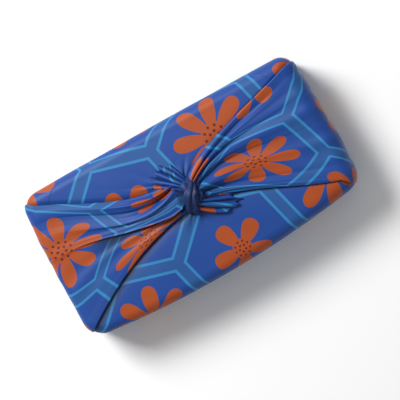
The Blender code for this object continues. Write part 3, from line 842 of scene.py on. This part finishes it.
def blossom_group():
    """A flat symmetrical flower: petals are ovals set round a disc, found by folding the angle into one
    petal's sector, and two rings of dots are found in the same way."""
    inputs = [("Petals", 8), ("Reach", 36), ("Petal Width", 6.3), ("Turn", 0)]
    group, given, out = new_group("blossom", inputs, ["Petal", "Stipple"])
    x, y, reach = given["Along"], given["Across"], given["Reach"]
    angle = calculate(group, "ADD", calculate(group, "ARCTAN2", y, x), given["Turn"])
    radius = calculate(group, "SQRT", squared(group, x, y))

    def part_of_reach(share):
        return calculate(group, "MULTIPLY", reach, share)

    def sector(count):
        wide = calculate(group, "DIVIDE", 2 * math.pi, count)
        folded = calculate(group, "FLOORED_MODULO", angle, wide)
        folded = calculate(group, "SUBTRACT", folded, calculate(group, "MULTIPLY", wide, 0.5))
        return (calculate(group, "MULTIPLY", radius, calculate(group, "COSINE", folded)),
                calculate(group, "MULTIPLY", radius, calculate(group, "SINE", folded)))

    outward, aside = sector(given["Petals"])
    lengthwise = calculate(group, "SUBTRACT", outward, part_of_reach(PETAL_MIDDLE))
    lengthwise = calculate(group, "DIVIDE", lengthwise, part_of_reach(PETAL_HALF))
    swell = calculate(group, "MULTIPLY_ADD", lengthwise, PETAL_SWELL, 1.0)
    aside = calculate(group, "DIVIDE", aside, calculate(group, "MULTIPLY", given["Petal Width"], swell))
    lengthwise = calculate(group, "POWER", calculate(group, "ABSOLUTE", lengthwise), PETAL_SQUARENESS)
    oval = calculate(group, "ADD", lengthwise, calculate(group, "MULTIPLY", aside, aside))
    petal = soft_step(group, oval, *PETAL_EDGE)
    disc = soft_step(group, radius, *(part_of_reach(share) for share in DISC_EDGE))
    group.links.new(calculate(group, "MAXIMUM", petal, disc), out["Petal"])
    dots = []
    for count, ring, size in STIPPLE_RINGS:
        along, across = sector(count)
        along = calculate(group, "SUBTRACT", along, part_of_reach(ring))
        apart = calculate(group, "SQRT", squared(group, along, across))
        dots.append(soft_step(group, apart, part_of_reach(size * 1.15), part_of_reach(size * 0.8)))
    group.links.new(calculate(group, "MAXIMUM", *dots), out["Stipple"])
    return group


def weave_group():
    """A plain weave: two crossed sine waves of the thread pitch whose crests alternate."""
    group, given, out = new_group("plain weave", [("Thread Pitch", THREAD_PITCH)], ["Height"])
    turns = [calculate(group, "DIVIDE", given[k], given["Thread Pitch"]) for k in ("Along", "Across")]
    waves = [calculate(group, "SINE", calculate(group, "MULTIPLY", turn, math.pi)) for turn in turns]
    group.links.new(calculate(group, "MULTIPLY", *waves), out["Height"])
    return group


def printed_colour(tree, along, across):
    """The colour at a place on the open cloth: each ink laid over the one before where its mask is 1. The
    place is turned by 45 degrees, because the hexagons' rows run along the cloth's edges and the parcel
    along its diagonal."""
    turned = [calculate(tree, "MULTIPLY", calculate(tree, "ADD", along, across), DIAGONAL),
              calculate(tree, "MULTIPLY", calculate(tree, "SUBTRACT", across, along), DIAGONAL)]
    turned = [calculate(tree, "ADD", *pair) for pair in zip(turned, PRINT_SHIFT)]
    shell = grouped(tree, tortoise_shell_group(), dict(zip(("Along", "Across"), turned)))
    middle = {"Along": shell["From Middle Along"], "Across": shell["From Middle Across"]}
    blossom = blossom_group()
    sizes = [dict(zip(("Petals", "Reach", "Petal Width", "Turn"), row)) for row in BLOSSOMS]
    flowers = [grouped(tree, blossom, {**middle, **size}) for size in sizes]

    def of_the_row(output):
        return either(tree, shell["Second Row"], *(flower[output] for flower in flowers))

    from_edge = shell["From Edge"]
    line = calculate(tree, "ABSOLUTE", calculate(tree, "SUBTRACT", from_edge, LINE_INSET))
    colour = (*INSIDE_BLUE, 1)
    for mask, ink in (
        (soft_step(tree, from_edge, LINE_INSET + 0.4, LINE_INSET - 0.4), BETWEEN_BLUE),
        (soft_step(tree, line, LINE_WIDTH / 2 + 0.3, LINE_WIDTH / 2 - 0.3), LINE_TEAL),
        (of_the_row("Petal"), PETAL_ORANGE),
        (of_the_row("Stipple"), STIPPLE_RED),
    ):
        colour = painted_over(tree, mask, colour, ink)
    return colour


def uneven_ink_and_painted_shade(tree, colour, place):
    """The colour made a little uneven by a soft noise, as printed ink is, and darker by the painted shade of
    the folds, or a little lighter on ridges where that shade is a painted highlight.
    """
    uneven = tree.nodes.new("ShaderNodeTexNoise")
    feed(tree, uneven, {"Vector": place, "Scale": 55.0, "Detail": 4.0})
    fold = tree.nodes.new("ShaderNodeAttribute")
    fold.attribute_name = "fold_shade"
    ink = calculate(tree, "MULTIPLY_ADD", uneven.outputs[0], INK_UNEVENNESS, 1 - INK_UNEVENNESS / 2)
    # Painted shade of the folds, and a painted highlight where the fold shade is below 0.
    deep = calculate(tree, "MULTIPLY_ADD", fold.outputs["Fac"], -FOLD_DARKENING, 1.0)
    shaded = tree.nodes.new("ShaderNodeVectorMath")
    shaded.operation = "SCALE"
    feed(tree, shaded, {"Vector": colour, "Scale": calculate(tree, "MULTIPLY", ink, deep)})
    return shaded.outputs[0]


def weave_and_hem(tree, along, across):
    """The normal bent by the threads and by the raised band of the hem. The distance to the nearest edge
    of the open square is the half diagonal less both distances from the middle, times the root of a half."""
    weave = grouped(tree, weave_group(), {"Along": along, "Across": across})
    threads = calculate(tree, "MULTIPLY", weave["Height"], WEAVE_HEIGHT)
    far_along, far_across = calculate(tree, "ABSOLUTE", along), calculate(tree, "ABSOLUTE", across)
    from_middle = calculate(tree, "ADD", far_along, far_across)
    inside = calculate(tree, "SUBTRACT", HALF_DIAGONAL, from_middle)
    from_edge = calculate(tree, "MULTIPLY", inside, DIAGONAL)
    hem = soft_step(tree, from_edge, HEM + 0.4, HEM - 0.4)
    height = calculate(tree, "ADD", threads, calculate(tree, "MULTIPLY", hem, HEM_HEIGHT))
    bump = tree.nodes.new("ShaderNodeBump")
    feed(tree, bump, {"Strength": 0.5, "Distance": MM, "Height": height})
    return bump.outputs["Normal"]


def printed_cloth_material():
    """Printed cotton: the print worked out from the place on the open cloth, with uneven ink and the painted
    shade of the folds, a satin bloom, and the bump of the weave and the hem."""
    material = bpy.data.materials.new("printed_cloth")
    material.use_nodes = True
    tree = material.node_tree
    shader = tree.nodes["Principled BSDF"]
    place = tree.nodes.new("ShaderNodeUVMap")
    place.uv_map = "open_cloth"
    axes = tree.nodes.new("ShaderNodeSeparateXYZ")
    tree.links.new(place.outputs["UV"], axes.inputs[0])
    along, across = (calculate(tree, "MULTIPLY", axes.outputs[k], 1 / MM) for k in (0, 1))
    colour = uneven_ink_and_painted_shade(tree, printed_colour(tree, along, across), place.outputs["UV"])
    feed(tree, shader, {
        "Base Color": colour, "Normal": weave_and_hem(tree, along, across),
        "Roughness": 0.52, "Specular IOR Level": 0.32,
        "Sheen Weight": 0.06, "Sheen Roughness": 0.4, "Sheen Tint": (0.55, 0.7, 1.0, 1),
    })
    return material


cloth.data.materials.append(printed_cloth_material())
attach(cloth, "root")
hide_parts("wrap_cloth")


# The studio
#
# A plain pale floor, soft daylight from the upper left of the picture, and a camera almost straight
# overhead, as in the photograph.
TURN = math.radians(28.8)  # how far the parcel's length is turned from the picture's width
picture_right = np.array([math.cos(TURN), -math.sin(TURN), 0])
picture_up = np.array([math.sin(TURN), math.cos(TURN), 0])
LIGHTS = (
    # light, its place to the picture's right, up and towards the camera, size, power in watts
    ("window_light", -1.15, 0.72, 1.3, 0.75, 45.0),
    ("fill_light", 1.4, -0.6, 1.6, 1.6, 1.2),
)
SKY_STRENGTH = 0.4


def face(thing, target):
    """Turns a camera or light to the target, with the picture's upward direction up."""
    back = (Vector(thing.location) - Vector(target)).normalized()
    right = Vector(picture_up).cross(back).normalized()
    turned = Matrix((right, back.cross(right), back)).transposed().to_4x4()
    turned.translation = thing.location
    thing.matrix_world = turned


def studio_floor():
    """A large pale floor just under the parcel."""
    half = 3.0
    corners = [(-half, -half, 0), (half, -half, 0), (half, half, 0), (-half, half, 0)]
    mesh = bpy.data.meshes.new("studio_floor")
    mesh.from_pydata(corners, [], [(0, 1, 2, 3)])
    floor = placed("studio_floor", mesh)
    material = bpy.data.materials.new("pale_floor")
    material.use_nodes = True
    tree = material.node_tree
    feed(tree, tree.nodes["Principled BSDF"], {"Base Color": (0.86, 0.86, 0.86, 1), "Roughness": 0.8})
    mesh.materials.append(material)


def soft_light(name, right, up, height, size, power):
    """A square area light at a place given in the picture's directions, facing the parcel."""
    data = bpy.data.lights.new(name, "AREA")
    data.size = size
    data.energy = power
    lamp = placed(name, data)
    lamp.location = tuple(picture_right * right + picture_up * up + np.array([0, 0, height]))
    face(lamp, (0, 0, 0.03))


studio_floor()
for light in LIGHTS:
    soft_light(*light)

world = bpy.data.worlds.new("studio")
bpy.context.scene.world = world
world.use_nodes = True
feed(world.node_tree, world.node_tree.nodes["Background"], {"Color": (1, 1, 1, 1), "Strength": SKY_STRENGTH})

LEAN = math.radians(5.0)  # how far the view leans from straight down, towards +X
DISTANCE = 1.6
SENSOR, VIEW_WIDTH = 36.0, 0.335  # millimetres of sensor, metres seen across the picture
aim = Vector((0.004, -0.004, 0.03))
camera_data = bpy.data.cameras.new("camera")
camera_data.sensor_width = SENSOR
camera_data.lens = SENSOR * DISTANCE / VIEW_WIDTH
camera = placed("camera", camera_data)
camera.location = aim + Vector((math.sin(LEAN), 0, math.cos(LEAN))) * DISTANCE
face(camera, aim)
bpy.context.scene.camera = camera
bpy.context.scene.view_settings.view_transform = "Standard"
